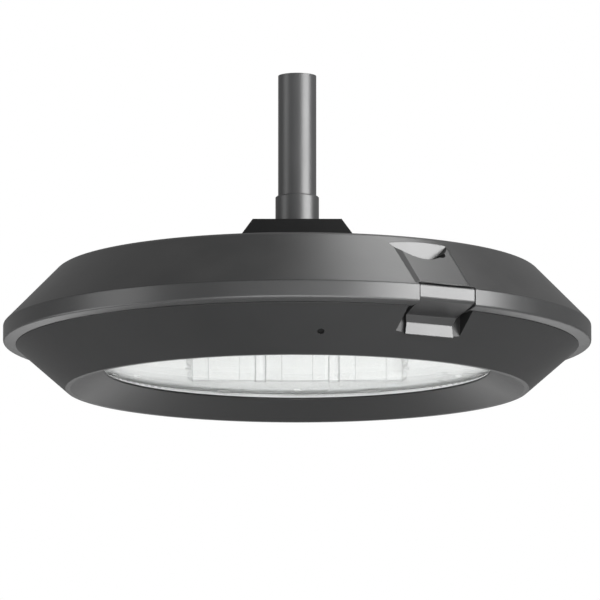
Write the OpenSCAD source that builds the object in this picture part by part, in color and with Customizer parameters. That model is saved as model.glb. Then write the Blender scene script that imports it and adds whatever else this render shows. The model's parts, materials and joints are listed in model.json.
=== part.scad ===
// Suspended disk street light: a spun-form housing on a pipe stem, with a glazed lower frame that swings
// down on a rear hinge and a lever latch on the rim. Millimetres, +Z up.
// The origin is on the stem's axis, in the plane of the lip that is the lowest edge.

/* [Disc] */
// Diameter over the rim band
disc_d = 650; // [620:5:680]
// Height of the upright rim band, up to the foot of the upper cone
band_h = 18.6; // [15:0.2:22]
// Radial run of the upper cone
cone_run = 60.5; // [52:0.5:66]
// Rise of the upper cone
cone_rise = 61.7; // [56:0.1:68]
// Rise of the shallow roof from the cone to the plateau
roof_rise = 23.5; // [20:0.5:28]
// Radius of the flat plateau in the middle of the roof
plateau_r = 92; // [90:1:100]
// Rounding between the cone and the roof
shoulder_fillet = 13; // [8:1:18]
// Wall of the cast housing
wall = 4; // [3:0.5:5]
// Width of the rim's underside, outside the lower frame
rim_under = 13; // [11:0.5:15]

/* [Lower frame] */
// Height of the lower frame, from its lip to the split line
frame_h = 48.6; // [44:0.2:54]
// How far the frame's edge stands inside the housing's underside
frame_inset = 0.8; // [0.4:0.1:1.4]
// Run of the frame's outer cone, from its edge to the lip
frame_run = 55.2; // [50:0.2:60]
// Width of the flat bottom lip
lip_w = 5; // [4:0.5:8]
// Run of the funnel, from the lip to the glass opening
funnel_run = 37.5; // [34:0.5:42]
// Height of the opening's lower edge above the lip
opening_z = 20.4; // [18:0.2:23]
// Wall of the cast lower frame
frame_wall = 3.5; // [3:0.5:4.5]
// Gap between the lower frame and the housing
split_gap = 0.3; // [0.2:0.1:0.6]
// Thickness of the sealing wall
seal_w = 8; // [7:0.5:9]
// Number of stiffening ribs inside the frame
rib_count = 24; // [12:1:36]

/* [Glass] */
// Thickness of the flat glass
glass_t = 4; // [3:0.5:5]
// Thickness of the gasket under the glass
glass_pad = 1.2; // [0.8:0.2:1.6]
// How far the glass reaches past the opening
glass_lap = 10.7; // [9:0.1:12]
// Number of clips that hold the glass
clip_count = 8; // [4:1:12]
// Width of a glass clip
clip_w = 14; // [10:1:18]
// Sheet thickness of a glass clip
clip_t = 1.5; // [1:0.1:2]

/* [Stem and block] */
// Outside diameter of the stem pipe
stem_d = 42.4; // [40:0.1:45]
// Wall of the stem pipe
stem_wall = 3.2; // [2.5:0.1:4]
// Depth of the step from the stem to its threaded foot
thread_step = 0.6; // [0.4:0.1:1]
// Length of the stem above the mounting block
stem_len = 169; // [120:1:200]
// Height of the mounting block
block_h = 26.7; // [22:0.1:32]
// Width of the mounting block at its top
block_top = 98; // [90:1:104]
// Flare of the block's sides from the vertical
block_flare = 33; // [25:1:34]
// Height of the stem collar
collar_h = 33; // [25:1:40]
// Wall of the stem collar
collar_wall = 2.8; // [2.4:0.1:4]

/* [Latch] */
// Compass angle of the latch, from +X
latch_angle = -60; // [-70:1:-50]
// Width of the latch lever
lever_w = 68; // [60:1:72]
// Thickness of the latch lever
lever_t = 3; // [2.5:0.1:3.2]
// How far the lever's face stands inside the band's widest line
lever_inset = 2.5; // [2:0.1:3]
// Diameter of the latch pin
latch_pin_d = 3; // [2.5:0.1:3.4]
// Width of the finger pocket on each side of the lever
pocket_side = 6; // [5:0.5:8]
// How far the pull tab stands behind the lever's upper face
tab_inset = 37.3; // [36:0.1:38.5]
// Height of the pull tab
tab_h = 12.9; // [10:0.1:14]

/* [Hinge] */
// Distance of the hinge axis inside the rim's edge
hinge_inset = 10; // [9:0.5:11]
// Drop of the hinge axis under the split line
hinge_drop = 6.6; // [6.2:0.1:7.5]
// Diameter of the hinge pin
hinge_pin_d = 5; // [4:0.5:6]
// Outer radius of the hinge barrel
barrel_r = 5; // [4.5:0.1:5.2]
// Width of the frame's hinge knuckle
knuckle_w = 36; // [24:1:44]
// Width of each housing ear
ear_w = 9.6; // [7:0.1:12]

/* [Optic] */
// Width of the reflector well, side to side
well_w = 236; // [220:2:244]
// Length of the reflector well, front to back
well_l = 304; // [290:2:308]
// Height of the reflector well
well_h = 51.5; // [45:0.5:56]
// Flutes on each wall of the well
flute_count = 3; // [2:1:4]
// Depth of a flute
flute_depth = 4; // [2:0.5:6]
// Thickness of the reflector sheet
sheet_t = 1.5; // [1:0.1:2]
// How far the flat apron reaches past the glass
apron_lap = 13.8; // [8:0.2:16]
// How far inside the glass opening the apron's screws sit
standoff_inset = 5.5; // [4:0.5:10]
// Gap between the apron and the glass
apron_gap = 3.4; // [3.2:0.1:6]
// Rows and columns of LED boards
board_grid = 3; // [2:1:4]
// Radius of one LED lens
lens_r = 6; // [4:0.5:6.5]

/* [Inside] */
// Margin of the heat sink plate outside its screws
sink_edge = 19; // [14:1:24]
// Thickness of the heat sink plate
sink_t = 6; // [4:0.5:8]
// Height of the heat sink fins
fin_h = 18; // [12:1:22]
// Distance of the housing's hanging bosses inside the rim's edge
boss_inset = 119; // [115:1:125]
// Width of the gear tray
tray_w = 196; // [184:2:204]
// Height of the gear tray above the heat sink
tray_h = 10; // [8:1:14]
// Sheet thickness of the gear tray
tray_t = 2; // [1.5:0.5:3]
// Length of the LED driver
driver_l = 170; // [140:5:190]
// Height of the LED driver
driver_h = 28; // [22:1:29]

/* [Fits] */
// Radial clearance of a pin in a moving knuckle
run_clear = 0.06; // [0.03:0.01:0.1]
// Side gap between moving pieces
side_gap = 0.9; // [0.4:0.1:1.2]
// Radial clearance of a fixed tube or screw in its hole
slip_clear = 0.15; // [0.05:0.05:0.3]
// Gap between the pull tab and the back of the finger pocket
tab_gap = 1.2; // [1:0.1:1.6]

/* [Hidden] */
$fn = 96;
far = 400;
eps = 0.01;

// Disc heights and radii
disc_r = disc_d / 2;
rim_lift = 2.6;
band_top = frame_h + rim_lift + band_h;
shoulder = [disc_r - cone_run, band_top + cone_rise];
plateau_z = shoulder.y + roof_rise;
knee_r = disc_r - rim_under;
cone_angle = atan2(cone_rise, cone_run);
rim_flange_t = 4;

// Latch, as radius and height
lever_face = disc_r - lever_inset;
pivot_r = lever_t;
pivot = [lever_face - pivot_r, band_top - 1.3];
latch_pin_r = latch_pin_d / 2;
web_top = frame_h + 5.4;
web_foot = frame_h - 6.6;
tab_r = lever_face - tab_inset;
tab_top = frame_h - 14.4;
lever_path = [[lever_face, pivot.y], [lever_face, web_top], [tab_r + 3.5, web_foot], [tab_r, tab_top],
    [tab_r, tab_top - tab_h]];
bend_r = 2.5;
notch_t = [-13, 3.3];
bay_half = lever_w / 2 + side_gap;
bay_back = pivot.x - 5;
bay_clear = 0.3;
bay_wall = 3.2;
pocket_half = lever_w / 2 + pocket_side;
pocket_r = tab_r - lever_t - tab_gap;
pocket_wall = 3;

// Brow above the latch
scoop_r = 44;
scoop_t = -8;
scoop_z = band_top + 77.2;
scoop_face = disc_r - 54;
recess_t = 12.5;
recess_s = 58.2;
recess_r = 7;
recess_depth = 18;

// Lower frame
frame_top = frame_h - split_gap;
frame_knee = knee_r - frame_inset;
lip_r = frame_knee - frame_run;
lip_in = lip_r - lip_w;
opening_r = lip_in - funnel_run;
flange_in = frame_knee - 17;
frame_slope = frame_top / (frame_knee - lip_r);
funnel_slope = opening_z / (lip_in - opening_r);
frame_rise = frame_wall * sqrt(1 + frame_slope * frame_slope);
funnel_rise = frame_wall * sqrt(1 + funnel_slope * funnel_slope);
trough_r = (frame_slope * lip_r - frame_rise + funnel_slope * lip_in + funnel_rise)
    / (frame_slope + funnel_slope);
seal_out = pocket_r - pocket_wall;
seal_in = seal_out - seal_w;
seal_r = (seal_in + seal_out) / 2;
rim_flange_r = seal_in - 2;
seal_top = frame_h - 3;
groove_w = seal_w - 3;
groove_d = 1;
plug_angle = -84.8;
plug_r = seal_out + 2.3;
plug_hole_r = 4;

// Glass and its clips
seat_t = 2;
seat_z = opening_z + seat_t;
glass_r = opening_r + glass_lap;
glass_z = seat_z + glass_pad;
glass_top = glass_z + glass_t;
seat_r = glass_r + 3.8;
clip_foot_z = seat_z + 2.6;
clip_boss_r = 4.5;
clip_pcd_r = seat_r + 1.2 + clip_boss_r;
clip_start = 22.5;

// Stem and block
stem_r = stem_d / 2;
spigot_r = stem_r - thread_step;
hole_r = spigot_r + slip_clear;
gasket_t = 1;
block_z = plateau_z + gasket_t;
block_head = block_z + block_h;
block_base = block_top + 2 * block_h * tan(block_flare);
block_corner = 0.9;
collar_r = stem_r + slip_clear + collar_wall;
stem_foot = plateau_z - wall - 17;
stem_head = block_head + stem_len;
block_screw_off = 36;

// Screws: shank radii, and head heights as a share of the shank radius
block_screw_r = 3;
sink_screw_r = 2.5;
apron_screw_r = 2;
tray_screw_r = 2;
clip_screw_r = 1.5;
grub_r = 2.5;
cap_head = 1.6;
pan_head = 0.8;

// Hinge
hinge_angle = latch_angle + 180;
hinge_axis = [disc_r - hinge_inset, frame_h - hinge_drop];
hinge_pin_r = hinge_pin_d / 2;
ear_gap = 0.4;

// Optic and heat sink
apron_r = glass_r + apron_lap;
apron_z = glass_top + apron_gap;
well_z = apron_z + sheet_t;
sink_z = well_z + well_h;
sink_top = sink_z + sink_t;
board_t = 1.6;
rib_share = 0.14;
cheek_share = 0.22;
lens_plate_t = 2;
board_gap = 8;
board_w = (well_w - 28 - board_gap * (board_grid - 1)) / board_grid;
board_l = (well_l - 36 - board_gap * (board_grid - 1)) / board_grid;
lens_cols = 3;
lens_rows = 4;
standoff_pcd_r = opening_r - standoff_inset;
standoff_count = 6;
standoff_r = 5;
sink_boss_r = 7;
sink_boss_count = 6;
boss_pcd_r = disc_r - boss_inset;
sink_r = boss_pcd_r + sink_edge;
roof_slope = roof_rise / (shoulder.x - plateau_r);

// Gear on the tray
tray_half = tray_w / 2;
tray_foot = 14;
tray_end_gap = 21.4;
tray_l = 2 * (boss_pcd_r * sin(360 / sink_boss_count) - sink_boss_r - tray_end_gap);
tray_z = sink_top + tray_h;
surge_w = 40;
surge_l = 64;
surge_h = 26;
terminal_w = 34;
terminal_h = 18;
terminal_pitch = 12;
terminal_ways = 5;

function unit(v) = v / norm(v);

// Height of the roof's outer face at a radius
function roof_z(r) = r < plateau_r ? plateau_z : plateau_z - (r - plateau_r) * roof_slope;

// Height of the funnel's and the cone's upper faces in the lower frame
function funnel_top(r) = (lip_in - r) * funnel_slope + funnel_rise;
function cone_top(r) = (r - lip_r) * frame_slope + frame_rise;

// Points of an arc of radius r that rounds the corner b between a and c
function round_corner(a, b, c, r, n = 6) =
    let (u = unit(a - b), w = unit(c - b), half = acos(u * w) / 2,
        centre = b + unit(u + w) * r / sin(half),
        first = b + u * r / tan(half) - centre, last = b + w * r / tan(half) - centre,
        a0 = atan2(first.y, first.x), turn = atan2(last.y, last.x) - a0,
        sweep = turn > 180 ? turn - 360 : turn < -180 ? turn + 360 : turn)
    [for (i = [0:n]) centre + r * [cos(a0 + sweep * i / n), sin(a0 + sweep * i / n)]];

// The corner b between a and c, moved inwards by t from both sides
function inset_corner(a, b, c, t) =
    let (u = unit(a - b), w = unit(c - b)) b + unit(u + w) * t / sin(acos(u * w) / 2);

// Normal on the right-hand side of the stretch from a to b
function right_normal(a, b) = let (d = unit(b - a)) [d.y, -d.x];

// A path given a thickness t on its right-hand side, as a closed outline
function thick_path(p, t) =
    let (last = len(p) - 1,
        n = [for (i = [0:last - 1]) right_normal(p[i], p[i + 1])],
        shifted = [for (i = [0:last])
            let (a = n[max(i - 1, 0)], b = n[min(i, last - 1)]) p[i] + t * (a + b) / (1 + a * b)])
    concat(p, [for (i = [last:-1:0]) shifted[i]]);

// Turns a section drawn as radius and height, placed at a compass angle, into a bar along the rim
module along_rim(t0, t1, points) {
    translate([0, t1, 0]) rotate([90, 0, 0]) linear_extrude(t1 - t0) polygon(points);
}

// A round bar along the rim at a radius and height
module rim_rod(t0, t1, place, r) {
    translate([place.x, t1, place.y]) rotate([90, 0, 0]) cylinder(h = t1 - t0, r = r);
}

// A ring of count copies, the first at the angle start
module ring(count, start = 0) {
    for (i = [0:count - 1]) rotate([0, 0, start + i * 360 / count]) children();
}

// Screw with a round head and a hexagon socket: the head hangs below z = 0 and the shank goes up
module screw_up(shank_r, head, shank_l) {
    head_h = head * shank_r;
    difference() {
        union() {
            translate([0, 0, -head_h]) cylinder(h = head_h, r = 2 * shank_r);
            translate([0, 0, -head_h]) cylinder(h = head_h + shank_l, r = shank_r);
        }
        translate([0, 0, -head_h - eps]) cylinder(h = head_h * 0.6, r = shank_r, $fn = 6);
    }
}

// Stem, collar and block

module stem_tube() {
    shoulder_z = block_head + collar_h;
    color("#4a4a4c") difference() {
        union() {
            translate([0, 0, stem_foot]) cylinder(h = shoulder_z - stem_foot + eps, r = spigot_r);
            translate([0, 0, shoulder_z]) cylinder(h = stem_head - shoulder_z, r = stem_r);
        }
        translate([0, 0, stem_foot - 1]) cylinder(h = stem_head - stem_foot + 2, r = stem_r - stem_wall);
    }
}

module collar_screw_places() {
    for (a = [60, 120]) rotate([0, 0, a]) translate([spigot_r, 0, block_head + collar_h / 2])
        rotate([0, 90, 0]) children();
}

module stem_collar() {
    chamfer = 1.2;
    color("#454547") difference() {
        translate([0, 0, block_head]) rotate_extrude() polygon([
            [hole_r, 0], [collar_r, 0], [collar_r, collar_h - chamfer],
            [collar_r - chamfer, collar_h], [hole_r, collar_h]]);
        collar_screw_places() cylinder(h = 10, r = grub_r + slip_clear);
    }
}

module collar_screws() {
    color("#2b2b2d") collar_screw_places() difference() {
        cylinder(h = collar_r - spigot_r - 0.2, r = grub_r);
        translate([0, 0, 1]) cylinder(h = collar_r, r = grub_r * 0.56, $fn = 6);
    }
}

// Frustum with a given half width at its base and at its top
module wedge_sides(base_half, top_half, reach) {
    rotate([90, 0, 0]) translate([0, 0, -reach]) linear_extrude(2 * reach)
        polygon([[-base_half, 0], [base_half, 0], [top_half, block_h], [-top_half, block_h]]);
}

module mounting_block() {
    base_half = block_base / 2;
    top_half = block_top / 2;
    corner = block_corner * sqrt(2);
    color("#39393b") translate([0, 0, block_z]) difference() {
        intersection() {
            wedge_sides(base_half, top_half, block_base);
            rotate([0, 0, 90]) wedge_sides(base_half, top_half, block_base);
            for (a = [45, 135]) rotate([0, 0, a]) wedge_sides(plateau_r - 3, top_half * corner, block_base);
        }
        translate([0, 0, -1]) cylinder(h = block_h + 2, r = hole_r);
        for (x = [-1, 1], y = [-1, 1]) translate([x * block_screw_off, y * block_screw_off, -1])
            cylinder(h = 12, r = block_screw_r);
    }
}

module block_gasket() {
    edge = 2;
    color("#1c1c1e") translate([0, 0, plateau_z]) difference() {
        intersection() {
            translate([-block_base / 2 + edge, -block_base / 2 + edge, 0])
                cube([block_base - 2 * edge, block_base - 2 * edge, gasket_t]);
            rotate([0, 0, 45]) translate([-plateau_r + 3 + edge, -plateau_r + 3 + edge, 0])
                cube([2 * (plateau_r - 3 - edge), 2 * (plateau_r - 3 - edge), gasket_t]);
        }
        translate([0, 0, -1]) cylinder(h = gasket_t + 2, r = stem_r + 3);
        for (x = [-1, 1], y = [-1, 1]) translate([x * block_screw_off, y * block_screw_off, -1])
            cylinder(h = gasket_t + 2, r = block_screw_r + slip_clear);
    }
}

module block_screws() {
    color("#8a8a8c") for (x = [-1, 1], y = [-1, 1])
        translate([x * block_screw_off, y * block_screw_off, plateau_z - wall])
            screw_up(block_screw_r, cap_head, wall + gasket_t + 10);
}

module stem_locknut() {
    nut_h = 10;
    color("#9a9a9c") translate([0, 0, plateau_z - wall - nut_h]) difference() {
        cylinder(h = nut_h, r = stem_r + 9, $fn = 6);
        translate([0, 0, -1]) cylinder(h = nut_h + 2, r = spigot_r + 0.05);
    }
}

module cable_bush() {
    bore = stem_r - stem_wall;
    color("#18181a") translate([0, 0, stem_foot]) rotate_extrude() polygon([
        [5, -2.5], [bore + 2, -2.5], [bore + 2, 0], [bore, 0], [bore, 10], [5, 12]]);
}

// Upper housing

// Outline of the housing's outer face, closed on the axis
function housing_outline() =
    let (foot = [knee_r, frame_h], rim = [disc_r, frame_h + rim_lift], brow = [disc_r, band_top],
        edge = [plateau_r, plateau_z])
    concat([[0, frame_h], foot], round_corner(foot, rim, brow, 2.4, 4),
        round_corner(rim, brow, shoulder, 2, 3), round_corner(brow, shoulder, edge, shoulder_fillet, 8),
        [edge, [0, plateau_z]]);

// Outline of the hollow inside the housing, above the rim's inner flange
function cavity_outline() =
    let (low = frame_h + rim_flange_t, rim = [disc_r, frame_h], brow = [disc_r, band_top],
        edge = [plateau_r, plateau_z])
    [[0, frame_h - 1], [rim_flange_r, frame_h - 1], [rim_flange_r, low], [disc_r - wall, low],
        inset_corner(rim, brow, shoulder, wall), inset_corner(brow, shoulder, edge, wall),
        [plateau_r, plateau_z - wall], [0, plateau_z - wall]];

// Frame of reference on the upper cone above the latch: x out of the face, y along the rim, z up the slope
module on_brow() {
    rotate([0, 0, latch_angle]) translate([disc_r, 0, band_top]) rotate([0, cone_angle - 90, 0]) children();
}

// The scoop in the brow: a round channel that ends in a flat upright face
module scoop(grow) {
    rotate([0, 0, latch_angle]) translate([scoop_face - grow, scoop_t, scoop_z]) rotate([0, 90, 0])
        cylinder(h = 80, r = scoop_r + grow);
}

// Flat land on the cone above the latch, with sloping flanks
module brow_land() {
    land = [-34, 26];
    flank = 10;
    on_brow() translate([0, 0, 3.6]) linear_extrude(68)
        polygon([[-3.8, land[0] - flank], [0.6, land[0]], [0.6, land[1]], [-3.8, land[1] + flank]]);
}

// Section of the cast bay that the latch lies in
function bay_shell() = let (foot = pocket_r + 5, back = bay_back - bay_wall)
    [[foot, frame_h], [foot, frame_h + rim_flange_t], [back, web_top + 5.6], [back, band_top + 2 * wall],
        [far, band_top + 2 * wall], [far, frame_h]];

// Section of the space in the bay for the lever and its swing
function bay_hollow() =
    let (up = (lever_t + 2 * bay_clear) * -right_normal(lever_path[2], lever_path[1]),
        a = lever_path[2] + up, b = lever_path[1] + up, slope = (b.y - a.y) / (b.x - a.x),
        foot_z = frame_h - 2 * bay_clear, foot = a.x + (foot_z - a.y) / slope,
        top = pivot.y + pivot_r + bay_clear)
    [[foot, foot_z], [bay_back, a.y + slope * (bay_back - a.x)], [bay_back, pivot.y],
        [pivot.x, pivot.y], [pivot.x, top], [far, top], [far, 0], [foot, 0]];

module housing_ears() {
    inner = knuckle_w / 2 + ear_gap;
    back = hinge_axis.x - 2.7;
    front = hinge_axis.x + barrel_r;
    top = frame_h + 3;
    rotate([0, 0, hinge_angle]) for (side = [-1, 1]) {
        t0 = side > 0 ? inner : -inner - ear_w;
        rim_rod(t0, t0 + ear_w, hinge_axis, barrel_r);
        along_rim(t0, t0 + ear_w, [[back, hinge_axis.y], [front, hinge_axis.y], [front, top], [back, top]]);
    }
}

module upper_housing() {
    color("#434345") difference() {
        union() {
            difference() {
                union() {
                    rotate_extrude() polygon(housing_outline());
                    brow_land();
                }
                difference() {
                    rotate_extrude() polygon(cavity_outline());
                    scoop(wall);
                }
            }
            // Cast bay round the latch
            intersection() {
                rotate_extrude() polygon(housing_outline());
                rotate([0, 0, latch_angle]) along_rim(-bay_half - 4, bay_half + 4, bay_shell());
            }
            // Boss behind the recessed screw
            on_brow() translate([-recess_depth - 4, recess_t, recess_s]) rotate([0, 90, 0])
                cylinder(h = recess_depth + 1, r = recess_r + 4);
            // Hanging bosses for the heat sink
            ring(sink_boss_count) translate([boss_pcd_r, 0, sink_top])
                cylinder(h = roof_z(boss_pcd_r + sink_boss_r) - 1 - sink_top, r = sink_boss_r);
            housing_ears();
        }
        scoop(0);
        rotate([0, 0, latch_angle]) {
            along_rim(-bay_half, bay_half, bay_hollow());
            rim_rod(-bay_half, bay_half, pivot, pivot_r + bay_clear);
            rim_rod(-bay_half - 3, bay_half + 3, pivot, latch_pin_r);
        }
        on_brow() translate([-recess_depth, recess_t, recess_s]) rotate([0, 90, 0])
            cylinder(h = 30, r = recess_r);
        rotate([0, 0, hinge_angle]) rim_rod(-knuckle_w, knuckle_w, hinge_axis, hinge_pin_r);
        translate([0, 0, plateau_z - 2 * wall]) cylinder(h = 3 * wall, r = hole_r);
        translate([0, 0, plateau_z - 2 * wall]) for (x = [-1, 1], y = [-1, 1])
            translate([x * block_screw_off, y * block_screw_off, 0])
                cylinder(h = 3 * wall, r = block_screw_r + slip_clear);
        ring(sink_boss_count) translate([boss_pcd_r, 0, sink_top - 1]) cylinder(h = 13, r = sink_screw_r);
    }
}

module recess_screw() {
    head_h = 5;
    color("#2a2a2c") on_brow() translate([-recess_depth + head_h, recess_t, recess_s]) rotate([0, -90, 0])
        difference() {
            cylinder(h = head_h, r = recess_r - 0.8);
            translate([0, 0, -1]) cylinder(h = 4, r = 3, $fn = 6);
        }
}

module hinge_pin() {
    half = knuckle_w / 2 + ear_gap + ear_w;
    color("#8d8d90") rotate([0, 0, hinge_angle]) {
        rim_rod(-half, half, hinge_axis, hinge_pin_r);
        rim_rod(half, half + 1.5, hinge_axis, hinge_pin_r + 1);
        rim_rod(-half - 1.5, -half, hinge_axis, hinge_pin_r + 1);
    }
}

module latch_pin() {
    color("#8d8d90") rotate([0, 0, latch_angle]) rim_rod(-bay_half - 3, bay_half + 3, pivot, latch_pin_r);
}

// Heat sink, LED boards and reflector

module heat_sink() {
    fin_t = 3;
    fin_pitch = 14;
    first = tray_half + tray_foot + 8;
    color("#a9abae") difference() {
        union() {
            translate([0, 0, sink_z]) cylinder(h = sink_t, r = sink_r);
            intersection() {
                for (side = [-1, 1], x = [first:fin_pitch:sink_r - 10])
                    translate([side * x - fin_t / 2, -sink_r, sink_top - 1])
                        cube([fin_t, 2 * sink_r, fin_h + 1]);
                translate([0, 0, sink_z]) cylinder(h = far, r = sink_r - 4);
            }
        }
        ring(sink_boss_count) translate([boss_pcd_r, 0, sink_top]) cylinder(h = far, r = sink_boss_r + 2);
        ring(sink_boss_count) translate([boss_pcd_r, 0, sink_z - 1])
            cylinder(h = far, r = sink_screw_r + slip_clear);
        ring(standoff_count, 30) translate([standoff_pcd_r, 0, sink_z - 1])
            cylinder(h = 5, r = apron_screw_r);
    }
}

module heat_sink_screws() {
    color("#b5b5b8") ring(sink_boss_count) translate([boss_pcd_r, 0, sink_z])
        screw_up(sink_screw_r, cap_head, sink_t + 10);
}

module board_places() {
    span_x = (board_w + board_gap) * (board_grid - 1) / 2;
    span_y = (board_l + board_gap) * (board_grid - 1) / 2;
    for (i = [0:board_grid - 1], j = [0:board_grid - 1])
        translate([i * (board_w + board_gap) - span_x, j * (board_l + board_gap) - span_y, sink_z])
            children();
}

module led_boards() {
    color("#e9e9e4") board_places() translate([-board_w / 2, -board_l / 2, -board_t])
        cube([board_w, board_l, board_t]);
}

module led_lenses() {
    pitch_x = (board_w - 6) / lens_cols;
    pitch_y = (board_l - 6) / lens_rows;
    color("#e4eef2") board_places() translate([0, 0, -board_t - lens_plate_t]) {
        translate([-board_w / 2 + 1, -board_l / 2 + 1, 0]) cube([board_w - 2, board_l - 2, lens_plate_t]);
        for (i = [0:lens_cols - 1], j = [0:lens_rows - 1])
            translate([(i - (lens_cols - 1) / 2) * pitch_x, (j - (lens_rows - 1) / 2) * pitch_y, 0])
                intersection() {
                    sphere(r = lens_r);
                    translate([-far / 2, -far / 2, -far]) cube([far, far, far + 1]);
                }
    }
}

// One wall of the fluted well, from corner to corner: bays with a flat back and slanting cheeks,
// parted by narrow grooves; grow moves the wall outwards, and the corners are left to well_outline
function fluted_wall(span, reach, grow) =
    let (pitch = span / (flute_count - rib_share), half = pitch * (1 - rib_share) / 2,
        cheek = pitch * cheek_share, last = flute_count - 1, low = reach - flute_depth + grow,
        high = reach + flute_depth / 2 + grow)
    [for (i = [0:last])
        let (mid = (i - last / 2) * pitch)
        each concat(
            i == 0 ? [] : [[mid - half + grow, low]],
            [[mid - half + cheek, reach + grow], [mid + half - cheek, reach + grow]],
            i == last ? [] : [[mid + half - grow, low], [mid + half - grow, high],
                [mid + pitch - half + grow, high]])];

// Outline of the well seen from below, wall by wall
function well_outline(grow) =
    let (long = fluted_wall(well_w, well_l / 2, grow),
        side = fluted_wall(well_l - 2 * flute_depth, well_w / 2 + flute_depth, grow),
        corner = [well_w / 2 + grow, well_l / 2 - flute_depth + grow])
    concat(long, [corner], [for (p = side) [p.y, -p.x]], [[corner.x, -corner.y]],
        -long, [-corner], [for (p = side) [-p.y, p.x]], [[-corner.x, corner.y]]);

module reflector_well() {
    color("#f4f4f2") translate([0, 0, well_z]) difference() {
        linear_extrude(well_h) polygon(well_outline(sheet_t));
        translate([0, 0, -1]) linear_extrude(well_h + 2) polygon(well_outline(0));
    }
}

module reflector_apron() {
    color("#ececea") translate([0, 0, apron_z]) difference() {
        cylinder(h = sheet_t, r = apron_r);
        translate([0, 0, -1]) linear_extrude(sheet_t + 2) polygon(well_outline(0));
        ring(standoff_count, 30) translate([standoff_pcd_r, 0, -1])
            cylinder(h = sheet_t + 2, r = apron_screw_r + slip_clear);
    }
}

module apron_standoffs() {
    color("#b9b9bb") ring(standoff_count, 30) translate([standoff_pcd_r, 0, well_z]) difference() {
        cylinder(h = well_h, r = standoff_r, $fn = 6);
        translate([0, 0, -1]) cylinder(h = 12, r = apron_screw_r);
    }
}

module apron_screws() {
    color("#dcdcda") ring(standoff_count, 30) translate([standoff_pcd_r, 0, apron_z])
        screw_up(apron_screw_r, pan_head, sheet_t + 8);
}

// Gear tray and what it carries

module gear_tray() {
    h = tray_h;
    color("#b4b6b8") difference() {
        translate([0, tray_l / 2, sink_top]) rotate([90, 0, 0]) linear_extrude(tray_l) polygon([
            [-tray_half - tray_foot, 0], [-tray_half, 0], [-tray_half, h], [tray_half, h], [tray_half, 0],
            [tray_half + tray_foot, 0], [tray_half + tray_foot, tray_t],
            [tray_half + tray_t, tray_t], [tray_half + tray_t, h + tray_t],
            [-tray_half - tray_t, h + tray_t], [-tray_half - tray_t, tray_t],
            [-tray_half - tray_foot, tray_t]]);
        tray_screw_places() translate([0, 0, -1])
            cylinder(h = 2 * tray_t + 1, r = tray_screw_r + slip_clear);
    }
}

module tray_screw_places() {
    for (x = [-1, 1], y = [-1, 1])
        translate([x * (tray_half + tray_foot - 6), y * (tray_l / 2 - 20), sink_top]) children();
}

module tray_screws() {
    color("#8a8a8c") tray_screw_places() translate([0, 0, tray_t]) mirror([0, 0, 1])
        screw_up(tray_screw_r, pan_head, tray_t);
}

module led_driver() {
    w = 62;
    ear = 10;
    color("#d8dadc") translate([-tray_half + 8, -driver_l / 2, tray_z + tray_t]) difference() {
        union() {
            translate([0, ear, 0]) cube([w, driver_l - 2 * ear, driver_h]);
            cube([w, driver_l, 3]);
        }
        for (y = [ear / 2, driver_l - ear / 2]) translate([w / 2, y, -1]) cylinder(h = 6, r = 2.2);
        for (x = [8:8:w - 8]) translate([x, ear + 12, driver_h - 1.5]) cube([3, driver_l - 2 * ear - 24, 3]);
    }
}

module surge_protector() {
    step = 9;
    color("#3c4a5c") translate([tray_half - surge_w - 10, -26 - surge_l, tray_z + tray_t]) difference() {
        cube([surge_w, surge_l, surge_h]);
        for (y = [-1, surge_l - step]) translate([6, y, surge_h - step + 1])
            cube([surge_w - 12, step + 1, step]);
    }
}

module terminal_block() {
    color("#e8e6dd") translate([tray_half - terminal_w - 14, 20, tray_z + tray_t]) difference() {
        cube([terminal_w, terminal_ways * terminal_pitch, terminal_h]);
        for (i = [0:terminal_ways - 1]) translate([0, (i + 0.5) * terminal_pitch, 0]) {
            for (x = [9, terminal_w - 9]) translate([x, 0, terminal_h - 8]) cylinder(h = 10, r = 3);
            translate([-1, 0, 6]) rotate([0, 90, 0]) cylinder(h = terminal_w + 2, r = 2.4);
        }
    }
}

// Lower frame with its glass

// Section of the cast frame: funnel, lip, outer cone, sealing wall and glass seat
function frame_section() = [[opening_r, opening_z], [lip_in, 0], [lip_r, 0], [frame_knee, frame_top],
    [flange_in, frame_top], [flange_in, frame_top - frame_wall],
    [lip_r + (frame_top - frame_wall - frame_rise) / frame_slope, frame_top - frame_wall],
    [seal_out, cone_top(seal_out)], [seal_out, seal_top], [seal_r + groove_w / 2, seal_top],
    [seal_r + groove_w / 2, seal_top - groove_d], [seal_r - groove_w / 2, seal_top - groove_d],
    [seal_r - groove_w / 2, seal_top], [seal_in, seal_top], [seal_in, cone_top(seal_in)],
    [trough_r, cone_top(trough_r)], [seat_r, funnel_top(seat_r)], [seat_r, seat_z], [opening_r, seat_z]];

// Solid under the frame's outer face, to trim what stands inside it
function frame_envelope() = [[0, 0], [lip_r, 0], [frame_knee, frame_top], [0, frame_top]];

module frame_ribs() {
    rib_t = 3;
    intersection() {
        rotate_extrude() polygon([[seal_out - 1, 0], [frame_knee - 3, 0], [frame_knee - 3, frame_top - 8],
            [seal_out - 1, seal_top - 6]]);
        rotate_extrude() polygon([[0, 1], [lip_r, 1], [frame_knee - 1, frame_top], [0, frame_top]]);
        ring(rib_count, hinge_angle + 180 / rib_count) translate([0, -rib_t / 2, 0])
            cube([far, rib_t, far]);
    }
}

module frame_knuckle() {
    rotate([0, 0, hinge_angle]) {
        rim_rod(-knuckle_w / 2, knuckle_w / 2, hinge_axis, barrel_r);
        along_rim(-knuckle_w / 2, knuckle_w / 2, [[hinge_axis.x, hinge_axis.y + barrel_r - 0.5],
            [frame_knee - 5.5, frame_top - 1.8], [frame_knee - 13.5, frame_top - 10.5],
            [hinge_axis.x, hinge_axis.y - barrel_r]]);
    }
}

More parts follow.
